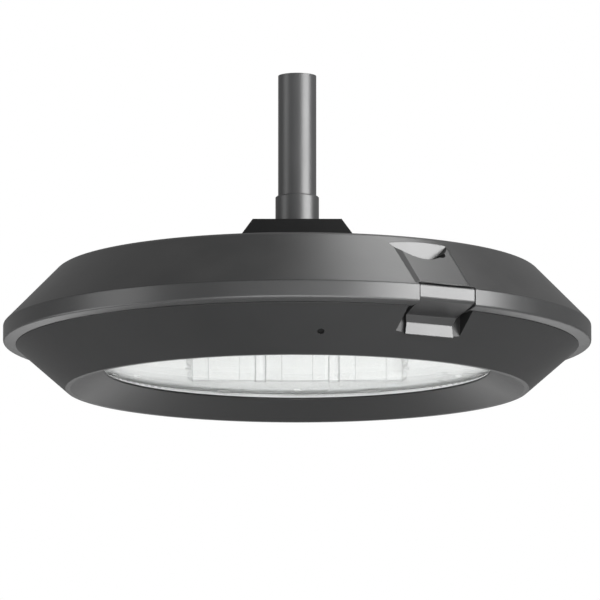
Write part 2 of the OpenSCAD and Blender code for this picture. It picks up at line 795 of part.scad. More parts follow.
// Place of the plugged moulding hole, square to the frame's outer cone
module plug_place() {
    slope = atan(frame_slope);
    rotate([0, 0, plug_angle]) translate([plug_r, 0, (plug_r - lip_r) * frame_slope])
        rotate([0, 180 - slope, 0]) children();
}

// Room of the finger pocket, open outwards, up and down
module pocket_room() {
    rotate([0, 0, latch_angle]) translate([pocket_r, -pocket_half, -1])
        cube([far, 2 * pocket_half, frame_h + 2]);
}

module lower_frame() {
    color("#3b3b3d") difference() {
        union() {
            difference() {
                union() {
                    rotate_extrude() polygon(frame_section());
                    frame_ribs();
                }
                // Finger pocket under the latch
                pocket_room();
            }
            // Walls of the finger pocket
            intersection() {
                rotate_extrude() polygon(frame_envelope());
                difference() {
                    rotate([0, 0, latch_angle])
                        translate([pocket_r - pocket_wall, -pocket_half - pocket_wall, 0])
                            cube([far, 2 * (pocket_half + pocket_wall), frame_h]);
                    pocket_room();
                }
            }
            // Bosses for the glass clips, which end inside the funnel's wall
            intersection() {
                rotate_extrude() polygon([[opening_r, opening_z + 1], [lip_in, 1], [lip_in, clip_foot_z],
                    [opening_r, clip_foot_z]]);
                ring(clip_count, clip_start) translate([clip_pcd_r, 0, 0]) cylinder(h = far, r = clip_boss_r);
            }
            frame_knuckle();
            plug_place() translate([0, 0, -8]) cylinder(h = 5, r = plug_hole_r + 3);
        }
        rotate([0, 0, hinge_angle]) rim_rod(-knuckle_w, knuckle_w, hinge_axis, hinge_pin_r + run_clear);
        ring(clip_count, clip_start) translate([clip_pcd_r, 0, clip_foot_z - 6])
            cylinder(h = 7, r = clip_screw_r);
        plug_place() translate([0, 0, -5]) cylinder(h = 12, r = plug_hole_r);
    }
}

module frame_plug() {
    color("#161618") plug_place() translate([0, 0, -5]) cylinder(h = 3.2, r = plug_hole_r);
}

module glass() {
    color("#cfdde0", 0.35) translate([0, 0, glass_z]) cylinder(h = glass_t, r = glass_r);
}

module glass_gasket() {
    color("#1b1b1d") translate([0, 0, seat_z]) rotate_extrude() polygon([
        [opening_r + 1.2, 0], [seat_r - 1.3, 0], [seat_r - 1.3, glass_pad + glass_t],
        [glass_r, glass_pad + glass_t], [glass_r, glass_pad], [opening_r + 1.2, glass_pad]]);
}

// Section of a clip: foot on its boss, riser and tongue over the glass
module glass_clips() {
    foot_r = clip_pcd_r + 5;
    riser_r = seat_r - 0.8;
    color("#a5a7a9") ring(clip_count, clip_start) difference() {
        along_rim(-clip_w / 2, clip_w / 2, [[glass_r - 6, glass_top], [riser_r, glass_top],
            [riser_r, clip_foot_z], [foot_r, clip_foot_z], [foot_r, clip_foot_z + clip_t],
            [riser_r + clip_t, clip_foot_z + clip_t], [riser_r + clip_t, glass_top + clip_t],
            [glass_r - 6, glass_top + clip_t]]);
        translate([clip_pcd_r, 0, clip_foot_z - 1]) cylinder(h = 5, r = clip_screw_r + slip_clear);
    }
}

module clip_screws() {
    color("#8f9193") ring(clip_count, clip_start) translate([clip_pcd_r, 0, clip_foot_z + clip_t])
        mirror([0, 0, 1]) screw_up(clip_screw_r, pan_head, clip_t + 5);
}

module door_gasket() {
    h = frame_h - seal_top + groove_d;
    w = groove_w;
    crown = [for (i = [0:6]) [cos(30 * i) * w / 2, h - w / 2 * 0.6 + sin(30 * i) * w / 2 * 0.6]];
    color("#1b1b1d") translate([0, 0, seal_top - groove_d]) rotate_extrude()
        translate([seal_r, 0]) polygon(concat([[-w / 2, 0], [w / 2, 0]], crown));
}

// Latch lever

module latch_lever() {
    p = lever_path;
    face = concat([p[0]], round_corner(p[0], p[1], p[2], lever_t + 1, 4),
        round_corner(p[1], p[2], p[3], bend_r, 3), round_corner(p[2], p[3], p[4], bend_r, 3), [p[4]]);
    sheet = thick_path(face, lever_t);
    barrel = [for (a = [-90:-15:-345]) pivot + pivot_r * [cos(a), sin(a)]];
    half = lever_w / 2;
    color("#c9cacb") rotate([0, 0, latch_angle]) difference() {
        intersection() {
            along_rim(-half, half, concat(barrel, [for (i = [0:len(sheet) - 2]) sheet[i]]));
            // The web narrows towards the pull tab, and the tab widens again
            rotate([90, 0, 90]) linear_extrude(far) polygon([[-half, far], [-half, p[1].y],
                [-half + 3, p[2].y], [-half + 5, p[3].y], [-half + 1, 0], [half - 2, 0],
                [half - 6, p[3].y], [half - 3, p[2].y], [half, p[1].y], [half, far]]);
        }
        rim_rod(-far, far, pivot, latch_pin_r + run_clear);
        // Shallow notch in the upper edge, to prise the lever out
        translate([0, notch_t[0], pivot.y + 2]) cube([far, notch_t[1] - notch_t[0], pivot_r]);
    }
}

stem_tube();
stem_collar();
collar_screws();
mounting_block();
block_gasket();
block_screws();
upper_housing();
stem_locknut();
cable_bush();
recess_screw();
hinge_pin();
latch_pin();
heat_sink();
heat_sink_screws();
led_boards();
led_lenses();
reflector_well();
reflector_apron();
apron_standoffs();
apron_screws();
gear_tray();
tray_screws();
led_driver();
surge_protector();
terminal_block();
lower_frame();
glass();
glass_gasket();
glass_clips();
clip_screws();
door_gasket();
frame_plug();
latch_lever();
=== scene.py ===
"""Dresses the suspended disk street light: paint, glass, rubber and metal finishes, the fasteners and light
points that repeat, soft studio light, and a camera a little below the lamp."""
import json
import math

import bmesh
import bpy
from mathutils import Matrix, Vector


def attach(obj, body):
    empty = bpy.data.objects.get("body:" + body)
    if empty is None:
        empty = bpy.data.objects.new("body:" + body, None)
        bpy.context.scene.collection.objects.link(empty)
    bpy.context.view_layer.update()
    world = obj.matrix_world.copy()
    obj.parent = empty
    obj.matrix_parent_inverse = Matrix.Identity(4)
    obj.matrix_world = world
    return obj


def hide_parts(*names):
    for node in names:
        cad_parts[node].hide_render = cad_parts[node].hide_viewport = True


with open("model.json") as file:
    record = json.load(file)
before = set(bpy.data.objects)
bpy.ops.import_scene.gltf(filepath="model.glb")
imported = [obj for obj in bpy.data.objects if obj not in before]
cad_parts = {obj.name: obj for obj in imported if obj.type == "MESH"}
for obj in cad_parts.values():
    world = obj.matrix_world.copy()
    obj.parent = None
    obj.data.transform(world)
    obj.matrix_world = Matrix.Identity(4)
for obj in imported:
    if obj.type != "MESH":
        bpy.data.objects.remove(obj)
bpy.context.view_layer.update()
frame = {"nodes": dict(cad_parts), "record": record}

nodes = frame["nodes"]
scene = bpy.context.scene


# Node helpers

def feed(tree, socket, value):
    """Sets a socket to a value, or links it to another node's output."""
    if isinstance(value, bpy.types.NodeSocket):
        tree.links.new(value, socket)
    else:
        socket.default_value = value


def add_node(tree, kind, settings=None, inputs=None):
    """A new node with its settings, and with its inputs fed by their names or places."""
    node = tree.nodes.new(kind)
    for name, value in (settings or {}).items():
        setattr(node, name, value)
    for name, value in (inputs or {}).items():
        feed(tree, node.inputs[name], value)
    return node


def new_group(name, inputs, outputs):
    """An empty shader group with named inputs, as (name, kind, value), and named outputs, as (name, kind)."""
    tree = bpy.data.node_groups.new(name, "ShaderNodeTree")
    for label, kind, value in inputs:
        tree.interface.new_socket(label, in_out="INPUT", socket_type=kind).default_value = value
    for label, kind in outputs:
        tree.interface.new_socket(label, in_out="OUTPUT", socket_type=kind)
    return tree, tree.nodes.new("NodeGroupInput").outputs, tree.nodes.new("NodeGroupOutput").inputs


def use_group(tree, group, **inputs):
    """Places a shader group; an input named with underscores stands for the same words with spaces."""
    node = tree.nodes.new("ShaderNodeGroup")
    node.node_tree = group
    for name, value in inputs.items():
        feed(tree, node.inputs[name.replace("_", " ").capitalize()], value)
    return node.outputs


def maths(tree, operation, first, second, clamp=False):
    """The result of one operation on two values."""
    node = add_node(tree, "ShaderNodeMath", {"operation": operation, "use_clamp": clamp}, {
        0: first, 1: second})
    return node.outputs[0]


def mapped(tree, value, low, high, to_low, to_high):
    """A value carried from one range over to another, and kept inside it."""
    node = add_node(tree, "ShaderNodeMapRange", None, {
        "Value": value, "From Min": low, "From Max": high, "To Min": to_low, "To Max": to_high})
    return node.outputs["Result"]


def blended(tree, share, first, second):
    """A colour between two colours, by a share from 0 to 1."""
    # Sockets 0, 6 and 7 of this node are its share and its two colours, and output 2 is the colour
    node = add_node(tree, "ShaderNodeMix", {"data_type": "RGBA"}, {0: share, 6: first, 7: second})
    return node.outputs[2]


def mixed_shader(tree, out, share, first, second):
    """Puts out a mix of two shaders, by a share from 0 to 1."""
    node = add_node(tree, "ShaderNodeMixShader", None, {0: share, 1: first.outputs[0], 2: second.outputs[0]})
    tree.links.new(node.outputs[0], out.inputs["Surface"])


def noise(tree, place, scale, detail):
    """Soft noise from 0 to 1."""
    node = add_node(tree, "ShaderNodeTexNoise", None, {"Vector": place, "Scale": scale, "Detail": detail})
    return node.outputs[0]


def object_place(tree):
    """The place on the object, in metres."""
    return add_node(tree, "ShaderNodeTexCoord").outputs["Object"]


def face_normal(tree):
    """The way that the surface faces."""
    return add_node(tree, "ShaderNodeNewGeometry").outputs["Normal"]


# Colours

def grey(value, warmth=0.0):
    """A near neutral colour; warmth above 0 turns it towards cream and below 0 towards blue."""
    return (value * (1 + warmth), value, value * (1 - warmth), 1.0)


def shade(colour, factor):
    """A colour made darker or lighter by a factor."""
    return tuple(min(1.0, factor * channel) for channel in colour[:3]) + (1.0,)


# Shader groups that more than one finish uses

def powder_grain_group():
    """Fine grain and gentle orange peel of a sprayed and baked coat, and a slow change of tone."""
    tree, given, result = new_group(
        "powder grain",
        [("Grain size", "NodeSocketFloat", 0.0006), ("Peel size", "NodeSocketFloat", 0.004)],
        [("Height", "NodeSocketFloat"), ("Tone", "NodeSocketFloat")])
    place = object_place(tree)
    fine = noise(tree, place, maths(tree, "DIVIDE", 1.0, given["Grain size"]), 2.0)
    peel = noise(tree, place, maths(tree, "DIVIDE", 1.0, given["Peel size"]), 1.0)
    fine_share = 0.45
    height = maths(tree, "ADD", maths(tree, "MULTIPLY", fine, fine_share), peel)
    tree.links.new(height, result["Height"])
    tree.links.new(noise(tree, place, 9.0, 4.0), result["Tone"])
    return tree


def edge_wear_and_shade_tree():
    """Rounds every edge to a small radius in the shading, and marks the edges: as wear on paint and metal,
    and as painted shade along the folds of the white sheet. Starts at and Full at are cosines of the angle
    between the rounded normal and the face's own."""
    tree, given, result = new_group(
        "edge wear and shade",
        [("Radius", "NodeSocketFloat", 0.0008), ("Patchiness", "NodeSocketFloat", 60.0),
         ("Starts at", "NodeSocketFloat", 0.995), ("Full at", "NodeSocketFloat", 0.86)],
        [("Normal", "NodeSocketVector"), ("Mask", "NodeSocketFloat")])
    rounded = add_node(tree, "ShaderNodeBevel", {"samples": 4}, {"Radius": given["Radius"]}).outputs[0]
    facing = add_node(tree, "ShaderNodeVectorMath", {"operation": "DOT_PRODUCT"}, {
        0: rounded, 1: face_normal(tree)})
    edge = mapped(tree, facing.outputs["Value"], given["Starts at"], given["Full at"], 0.0, 1.0)
    patches = noise(tree, object_place(tree), given["Patchiness"], 3.0)
    broken = mapped(tree, patches, 0.42, 0.62, 0.15, 1.0)
    tree.links.new(rounded, result["Normal"])
    tree.links.new(maths(tree, "MULTIPLY", edge, broken), result["Mask"])
    return tree


def settled_dust_group():
    """Dust that settles on faces that look up, in soft patches."""
    tree, given, result = new_group(
        "settled dust", [("Amount", "NodeSocketFloat", 0.3)], [("Mask", "NodeSocketFloat")])
    normal = add_node(tree, "ShaderNodeSeparateXYZ", None, {0: face_normal(tree)}).outputs
    up = mapped(tree, normal["Z"], 0.55, 1.0, 0.0, 1.0)
    speckle = mapped(tree, noise(tree, object_place(tree), 22.0, 6.0), 0.35, 0.75, 0.1, 1.0)
    mask = maths(tree, "MULTIPLY", maths(tree, "MULTIPLY", up, speckle), given["Amount"], clamp=True)
    tree.links.new(mask, result["Mask"])
    return tree


def drawn_metal_group():
    """Fine lines along one direction, as rolled, turned or extruded metal shows."""
    tree, given, result = new_group(
        "drawn metal",
        [("Stretch", "NodeSocketVector", (1.0, 1.0, 1.0)), ("Line size", "NodeSocketFloat", 0.0008)],
        [("Height", "NodeSocketFloat"), ("Tone", "NodeSocketFloat")])
    place = object_place(tree)
    stretched = add_node(tree, "ShaderNodeVectorMath", {"operation": "MULTIPLY"}, {
        0: place, 1: given["Stretch"]}).outputs[0]
    lines = noise(tree, stretched, maths(tree, "DIVIDE", 1.0, given["Line size"]), 3.0)
    cloud = noise(tree, place, 30.0, 3.0)
    line_share = 0.6
    tone = maths(tree, "ADD", maths(tree, "MULTIPLY", lines, line_share),
                 maths(tree, "MULTIPLY", cloud, 1 - line_share))
    tree.links.new(lines, result["Height"])
    tree.links.new(tone, result["Tone"])
    return tree


powder_grain = powder_grain_group()
edge_wear_and_shade_group = edge_wear_and_shade_tree()
settled_dust = settled_dust_group()
drawn_metal = drawn_metal_group()


# Parts of a finish

def new_finish(name, **constants):
    """An empty material with a Principled shader; constants go straight onto the shader's own sockets."""
    material = bpy.data.materials.new(name)
    material.use_nodes = True
    tree = material.node_tree
    tree.nodes.clear()
    shader = add_node(tree, "ShaderNodeBsdfPrincipled")
    for label, value in constants.items():
        shader.inputs[label.replace("_", " ")].default_value = value
    out = add_node(tree, "ShaderNodeOutputMaterial", None, {"Surface": shader.outputs[0]})
    return material, tree, shader, out


def toned(tree, tone, low, high):
    """A value that goes from low to high with a slow tone, most of which lies between 0.3 and 0.7."""
    return mapped(tree, tone, 0.3, 0.7, low, high)


def clouded(tree, tone, colour, darkest, lightest=1.0):
    """A colour that drifts with a slow tone between two shades of itself."""
    return blended(tree, toned(tree, tone, 0.0, 1.0), shade(colour, darkest), shade(colour, lightest))


def dressed(tree, shader, colour, roughness):
    """Feeds a finish's colour and roughness."""
    tree.links.new(colour, shader.inputs["Base Color"])
    tree.links.new(roughness, shader.inputs["Roughness"])


def grained(tree, shader, height, normal, depth):
    """Presses a grain into a finish over a given normal; a depth of 1 is a fifth of a millimetre."""
    bump = add_node(tree, "ShaderNodeBump", None, {
        "Strength": depth, "Distance": 0.0002, "Height": height, "Normal": normal})
    tree.links.new(bump.outputs[0], shader.inputs["Normal"])


def let_through(tree, shader, out, share, tint):
    """Mixes an open way into a finish: lamps and soft light pass freely, and so does a share of the view."""
    open_way = add_node(tree, "ShaderNodeBsdfTransparent", None, {"Color": tint})
    path = add_node(tree, "ShaderNodeLightPath").outputs
    lamplight = maths(tree, "MAXIMUM", path["Is Shadow Ray"], path["Is Diffuse Ray"])
    mixed_shader(tree, out, maths(tree, "MAXIMUM", lamplight, share), shader, open_way)


# Finishes

def powder_coat(name, colour, worn, roughness, shine, peel=0.004, dust=0.12):
    """A baked powder coat over cast metal: grain, peel, edges that wear to a lighter tone, and some dust."""
    material, tree, shader, _ = new_finish(name, Specular_IOR_Level=shine)
    grain = use_group(tree, powder_grain, grain_size=0.0007, peel_size=peel)
    edge_wear_and_shade = use_group(tree, edge_wear_and_shade_group, radius=0.0009)
    dusty = use_group(tree, settled_dust, amount=dust)
    worn_share = 0.25
    dust_colour = grey(0.17, 0.05)
    dust_roughness = 0.25
    coat = clouded(tree, grain["Tone"], colour, 0.86, 1.14)
    rubbed = blended(tree, maths(tree, "MULTIPLY", edge_wear_and_shade["Mask"], worn_share), coat, worn)
    gloss = toned(tree, grain["Tone"], roughness - 0.03, roughness + 0.04)
    dulled = maths(tree, "ADD", gloss, maths(tree, "MULTIPLY", dusty["Mask"], dust_roughness))
    dressed(tree, shader, blended(tree, dusty["Mask"], rubbed, dust_colour), dulled)
    grained(tree, shader, grain["Height"], edge_wear_and_shade["Normal"], 0.12)
    return material


def metal(name, colour, roughness, stretch, line_size):
    """Bare or plated metal with drawn lines, a slightly cloudy tone and softened edges."""
    material, tree, shader, _ = new_finish(name, Metallic=1.0)
    drawn = use_group(tree, drawn_metal, stretch=stretch, line_size=line_size)
    edge_wear_and_shade = use_group(tree, edge_wear_and_shade_group, radius=0.0004)
    body = blended(tree, mapped(tree, drawn["Tone"], 0.35, 0.65, 0.0, 1.0), shade(colour, 0.78), colour)
    worn_share = 0.6
    rubbed = blended(tree, maths(tree, "MULTIPLY", edge_wear_and_shade["Mask"], worn_share), body, shade(colour, 1.2))
    dressed(tree, shader, rubbed, toned(tree, drawn["Tone"], roughness - 0.06, roughness + 0.08))
    grained(tree, shader, drawn["Height"], edge_wear_and_shade["Normal"], 0.1)
    return material


def moulded(name, colour, roughness, shine=0.5, grain_size=0.0005, dust=0.0):
    """Moulded plastic or rubber with a fine mould texture."""
    material, tree, shader, _ = new_finish(name, Specular_IOR_Level=shine)
    grain = use_group(tree, powder_grain, grain_size=grain_size, peel_size=0.003)
    edge_wear_and_shade = use_group(tree, edge_wear_and_shade_group, radius=0.0004)
    dusty = use_group(tree, settled_dust, amount=dust)
    dust_colour = grey(0.2, 0.05)
    body = clouded(tree, grain["Tone"], colour, 0.9)
    dressed(tree, shader, blended(tree, dusty["Mask"], body, dust_colour),
            toned(tree, grain["Tone"], roughness - 0.05, roughness + 0.05))
    grained(tree, shader, grain["Height"], edge_wear_and_shade["Normal"], 0.1)
    return material


def coated_sheet(name, colour, fold_shade_colour, roughness):
    """Folded sheet under a white coat, with a thin grey line of painted shade along every fold and joint."""
    material, tree, shader, _ = new_finish(name, Specular_IOR_Level=0.5)
    grain = use_group(tree, powder_grain, grain_size=0.004, peel_size=0.003)
    edge_wear_and_shade = use_group(tree, edge_wear_and_shade_group, radius=0.0013, patchiness=0.0, starts_at=0.999, full_at=0.994)
    coat = clouded(tree, grain["Tone"], colour, 0.95)
    # Painted shade: a thin grey line along every fold and joint of the white sheet
    fold_shade_strength = 1.8
    painted_fold_shade = maths(tree, "MULTIPLY", edge_wear_and_shade["Mask"], fold_shade_strength, clamp=True)
    dressed(tree, shader, blended(tree, painted_fold_shade, coat, fold_shade_colour),
            toned(tree, grain["Tone"], roughness - 0.05, roughness + 0.05))
    grained(tree, shader, grain["Height"], edge_wear_and_shade["Normal"], 0.03)
    return material


def clear_glass(name, colour, calm):
    """Clear glass with a faint film of handling on it; calm is the share of its mirroring that a coating
    takes away."""
    material, tree, shader, out = new_finish(name, Transmission_Weight=1.0, IOR=1.5, Metallic=0.0)
    film = use_group(tree, powder_grain, grain_size=0.02, peel_size=0.05)
    dressed(tree, shader, clouded(tree, film["Tone"], colour, 0.93), toned(tree, film["Tone"], 0.0, 0.03))
    let_through(tree, shader, out, calm, (0.98, 0.985, 0.982, 1.0))
    return material


def frosted(name, colour, roughness, clearness):
    """Milky clear plastic: clearness is the share of the view that goes straight through."""
    material, tree, shader, out = new_finish(name, Specular_IOR_Level=0.5)
    grain = use_group(tree, powder_grain, grain_size=0.001, peel_size=0.003)
    dressed(tree, shader, clouded(tree, grain["Tone"], colour, 0.96),
            toned(tree, grain["Tone"], roughness, roughness + 0.06))
    let_through(tree, shader, out, clearness, (0.97, 0.98, 0.98, 1.0))
    return material


def phosphor(name):
    """Yellow converter of a light-emitting chip, unlit."""
    material, tree, shader, _ = new_finish(name, Roughness=0.55)
    grain = use_group(tree, powder_grain, grain_size=0.0002, peel_size=0.001)
    tree.links.new(blended(tree, grain["Height"], (0.72, 0.52, 0.06, 1.0), (0.86, 0.68, 0.16, 1.0)),
                   shader.inputs["Base Color"])
    return material


finishes = {
    # One anthracite coat on housing, frame, block, stem and lever; the base colours differ, stem lightest and
    # block darkest, as painted light and shade
    "housing paint": powder_coat("housing paint", grey(0.013, -0.02), grey(0.12), 0.37, 0.7),
    "frame paint": powder_coat("frame paint", grey(0.009, -0.02), grey(0.1), 0.38, 0.28),
    "block paint": powder_coat("block paint", grey(0.005, -0.02), grey(0.07), 0.42, 0.15),
    "stem paint": powder_coat("stem paint", grey(0.028, -0.02), grey(0.16), 0.38, 0.7, peel=0.006),
    "lever paint": powder_coat("lever paint", grey(0.008, -0.02), grey(0.2), 0.33, 0.62, peel=0.003),
    # The reflector's grey fold lines are painted shade
    "reflector white": coated_sheet("reflector white", grey(0.93), grey(0.3), 0.3),
    "white screws": moulded("white screws", grey(0.8), 0.3),
    "dark screws": moulded("dark screws", grey(0.02), 0.4),
    "steel fasteners": metal("steel fasteners", grey(0.42, 0.01), 0.42, (1.0, 1.0, 0.15), 0.0006),
    "bare aluminium": metal("bare aluminium", grey(0.66), 0.36, (1.0, 0.02, 1.0), 0.001),
    "plated sheet": metal("plated sheet", grey(0.62, -0.01), 0.34, (0.6, 0.05, 0.6), 0.002),
    "board white": moulded("board white", grey(0.82, 0.01), 0.4, grain_size=0.001),
    "lens plastic": frosted("lens plastic", (0.9, 0.92, 0.93, 1.0), 0.12, 0.6),
    "driver case": moulded("driver case", grey(0.62, -0.01), 0.4),
    "blue plastic": moulded("blue plastic", (0.035, 0.07, 0.13, 1.0), 0.45),
    "cream plastic": moulded("cream plastic", (0.72, 0.69, 0.58, 1.0), 0.5),
    "black rubber": moulded("black rubber", grey(0.004), 0.62, 0.12, dust=0.15),
    "pale silicone": moulded("pale silicone", grey(0.8), 0.45, grain_size=0.002),
    "clear glass": clear_glass("clear glass", (0.98, 0.988, 0.984, 1.0), 0.75),
}
slot_of = {part["node"]: part["material_slot"] for part in frame["record"]["subparts"]}
# The seal round the glass is paler than the other rubber, because white shows right up to the opening's edge
finish_of = {**slot_of, "glass_gasket": "pale silicone"}
for name, node in nodes.items():
    node.data.materials.clear()
    node.data.materials.append(finishes[finish_of[name]])


# Repeats made with geometry nodes

def new_growth(name, sizes, seed):
    """An empty geometry tree with named sizes, a seed and a finish, for a part that is copied onto points."""
    tree = bpy.data.node_groups.new(name, "GeometryNodeTree")
    tree.interface.new_socket("Geometry", in_out="INPUT", socket_type="NodeSocketGeometry")
    for label, value in sizes.items():
        tree.interface.new_socket(label, in_out="INPUT", socket_type="NodeSocketFloat").default_value = value
    tree.interface.new_socket("Seed", in_out="INPUT", socket_type="NodeSocketInt").default_value = seed
    tree.interface.new_socket("Finish", in_out="INPUT", socket_type="NodeSocketMaterial")
    tree.interface.new_socket("Geometry", in_out="OUTPUT", socket_type="NodeSocketGeometry")
    return tree, tree.nodes.new("NodeGroupInput").outputs, tree.nodes.new("NodeGroupOutput").inputs


def lifted(tree, geometry, length, share):
    """Geometry moved along Z by a share of a length."""
    offset = add_node(tree, "ShaderNodeCombineXYZ", None, {"Z": maths(tree, "MULTIPLY", length, share)})
    return add_node(tree, "GeometryNodeTransform", None, {
        "Geometry": geometry, "Translation": offset.outputs[0]}).outputs[0]


def cylinder(tree, sides, radius, length):
    """A plain prism or cylinder about the origin."""
    return add_node(tree, "GeometryNodeMeshCylinder", None, {
        "Vertices": sides, "Radius": radius, "Depth": length}).outputs["Mesh"]


def copied(tree, given, result, pieces, most_turn):
    """Ends a tree: the joined pieces on each point, along its facing and turned by chance, in one finish."""
    part = add_node(tree, "GeometryNodeJoinGeometry")
    for piece in pieces:
        tree.links.new(piece, part.inputs[0])
    facing = add_node(tree, "GeometryNodeInputNamedAttribute", {"data_type": "FLOAT_VECTOR"}, {
        "Name": "facing"}).outputs["Attribute"]
    aim = add_node(tree, "FunctionNodeAlignRotationToVector", {"axis": "Z"}, {"Vector": facing})
    # Inputs 2 and 3 of this node are the least and the most of a random float, which is output 1
    twist = add_node(tree, "FunctionNodeRandomValue", {"data_type": "FLOAT"}, {
        2: 0.0, 3: most_turn, "Seed": given["Seed"]})
    spin = add_node(tree, "FunctionNodeAxisAngleToRotation", None, {"Angle": twist.outputs[1]})
    turned = add_node(tree, "FunctionNodeRotateRotation", {"rotation_space": "LOCAL"}, {
        "Rotation": aim.outputs[0], "Rotate By": spin.outputs[0]})
    placed = add_node(tree, "GeometryNodeInstanceOnPoints", None, {
        "Points": given["Geometry"], "Instance": part.outputs[0], "Rotation": turned.outputs[0]})
    real = add_node(tree, "GeometryNodeRealizeInstances", None, {"Geometry": placed.outputs[0]})
    painted = add_node(tree, "GeometryNodeSetMaterial", None, {
        "Geometry": real.outputs[0], "Material": given["Finish"]})
    tree.links.new(painted.outputs[0], result[0])
    return tree


def screw_tree():
    """A screw with a softened head and a hexagon socket, on every point of the mesh that it is given."""
    tree, given, result = new_growth("socket screws", {
        "Head radius": 0.004, "Head height": 0.002, "Rim radius": 0.0004, "Socket radius": 0.002,
        "Shank radius": 0.002, "Shank length": 0.008}, 3)
    outline = add_node(tree, "GeometryNodeCurvePrimitiveQuadrilateral", None, {
        "Width": given["Head radius"], "Height": given["Head height"]})
    soft = add_node(tree, "GeometryNodeFilletCurve", {"mode": "POLY"}, {
        "Curve": outline.outputs[0], "Radius": given["Rim radius"], "Count": 3})
    # The outline is as wide as the head's radius, so its middle goes round at half of that
    path = add_node(tree, "GeometryNodeCurvePrimitiveCircle", None, {
        "Resolution": 28, "Radius": maths(tree, "MULTIPLY", given["Head radius"], 0.5)})
    puck = add_node(tree, "GeometryNodeCurveToMesh", None, {
        "Curve": path.outputs[0], "Profile Curve": soft.outputs[0]})
    same_place = 0.00002
    closed = add_node(tree, "GeometryNodeMergeByDistance", None, {
        "Geometry": puck.outputs[0], "Distance": same_place})
    raised = lifted(tree, closed.outputs[0], given["Head height"], 0.5)
    hexagon = cylinder(tree, 6, given["Socket radius"], given["Head height"])
    # The hexagon is as high as the head, so its middle lies half of that above the socket's floor
    socket_floor = 0.4
    cutter = lifted(tree, hexagon, given["Head height"], socket_floor + 0.5)
    head = add_node(tree, "GeometryNodeMeshBoolean", {"operation": "DIFFERENCE", "solver": "EXACT"}, {
        "Mesh 1": raised, "Mesh 2": cutter}).outputs["Mesh"]
    shank = cylinder(tree, 20, given["Shank radius"], given["Shank length"])
    sunk = lifted(tree, shank, given["Shank length"], -0.5)
    return copied(tree, given, result, [head, sunk], math.tau)


def chip_tree():
    """A square package with a round window, on every point of the mesh that it is given."""
    tree, given, result = new_growth("light chips", {
        "Side": 0.003, "Thickness": 0.0006, "Window radius": 0.0012}, 5)
    size = add_node(tree, "ShaderNodeCombineXYZ", None, {
        "X": given["Side"], "Y": given["Side"], "Z": given["Thickness"]})
    package = add_node(tree, "GeometryNodeMeshCube", None, {"Size": size.outputs[0]}).outputs["Mesh"]
    raised = lifted(tree, package, given["Thickness"], 0.5)
    window = cylinder(tree, 14, given["Window radius"], given["Thickness"])
    window_rise = 0.3
    proud = lifted(tree, window, given["Thickness"], window_rise + 0.5)
    return copied(tree, given, result, [raised, proud], math.radians(3))


def grown(name, tree, points, facing, body, values):
    """A plain mesh piece from a geometry tree fed with points, whose copies all face one way."""
    seeds = bpy.data.meshes.new(name + "_points")
    seeds.from_pydata(points, [], [])
    seeds.attributes.new("facing", "FLOAT_VECTOR", "POINT").data.foreach_set("vector", facing * len(points))
    feeder = bpy.data.objects.new(name + "_feeder", seeds)
    scene.collection.objects.link(feeder)
    modifier = feeder.modifiers.new(name, "NODES")
    modifier.node_group = tree
    sockets = {item.name: item.identifier for item in tree.interface.items_tree
               if item.item_type == "SOCKET" and item.in_out == "INPUT"}
    for label, value in values.items():
        modifier[sockets[label]] = value
    graph = bpy.context.evaluated_depsgraph_get()
    mesh = bpy.data.meshes.new_from_object(feeder.evaluated_get(graph), depsgraph=graph)
    mesh.name = name
    feeder.modifiers.clear()
    bpy.data.objects.remove(feeder)
    mesh.polygons.foreach_set("use_smooth", [True] * len(mesh.polygons))
    most_smooth_angle = math.radians(35)
    mesh.set_sharp_from_angle(angle=most_smooth_angle)
    piece = bpy.data.objects.new(name, mesh)
    scene.collection.objects.link(piece)
    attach(piece, body)
    return piece


def islands(node_name):
    """The lowest and highest corner of each separate solid in a node, in one list."""
    same_place = 0.00001
    shape = bmesh.new()
    shape.from_mesh(nodes[node_name].data)
    bmesh.ops.remove_doubles(shape, verts=shape.verts, dist=same_place)
    left = set(shape.verts)
    found = []
    while left:
        waiting = [left.pop()]
        group = []
        while waiting:
            vertex = waiting.pop()
            group.append(vertex.co.copy())
            near = {edge.other_vert(vertex) for edge in vertex.link_edges} & left
            left -= near
            waiting += near
        low = Vector(min(point[i] for point in group) for i in range(3))
        high = Vector(max(point[i] for point in group) for i in range(3))
        found.append((low, high))
    shape.free()
    return sorted(found, key=lambda box: tuple(box[0]))


def socket_screws(kind, body, head_radius, head_height, heads_up):
    """Detailed screws in the places of a node's plain ones, heads up or heads down."""
    node_name = kind + "_screws"
    boxes = islands(node_name)
    points = []
    for low, high in boxes:
        seat = high.z - head_height if heads_up else low.z + head_height
        points.append(((low.x + high.x) / 2, (low.y + high.y) / 2, seat))
    low, high = boxes[0]
    rim_share = 0.28
    piece = grown(kind + "_fasteners", screws, points, (0, 0, 1 if heads_up else -1), body, {
        "Head radius": head_radius, "Head height": head_height, "Rim radius": head_height * rim_share,
        "Socket radius": head_radius / 2, "Shank radius": head_radius / 2,
        "Shank length": high.z - low.z - head_height, "Finish": finishes[slot_of[node_name]]})
    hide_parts(node_name)


def light_chips():
    """The chips under the lenses: three columns and four rows on each board, square to it."""
    columns = 3
    rows = 4
    margin = 0.003
    points = []
    for low, high in islands("led_boards"):
        pitch_x = (high.x - low.x - 2 * margin) / columns
        pitch_y = (high.y - low.y - 2 * margin) / rows
        points += [(low.x + margin + (i + 0.5) * pitch_x, low.y + margin + (j + 0.5) * pitch_y, low.z)
                   for i in range(columns) for j in range(rows)]
    piece = grown("led_chips", chip_tree(), points, (0, 0, -1), "housing", {
        "Finish": phosphor("chip phosphor")})


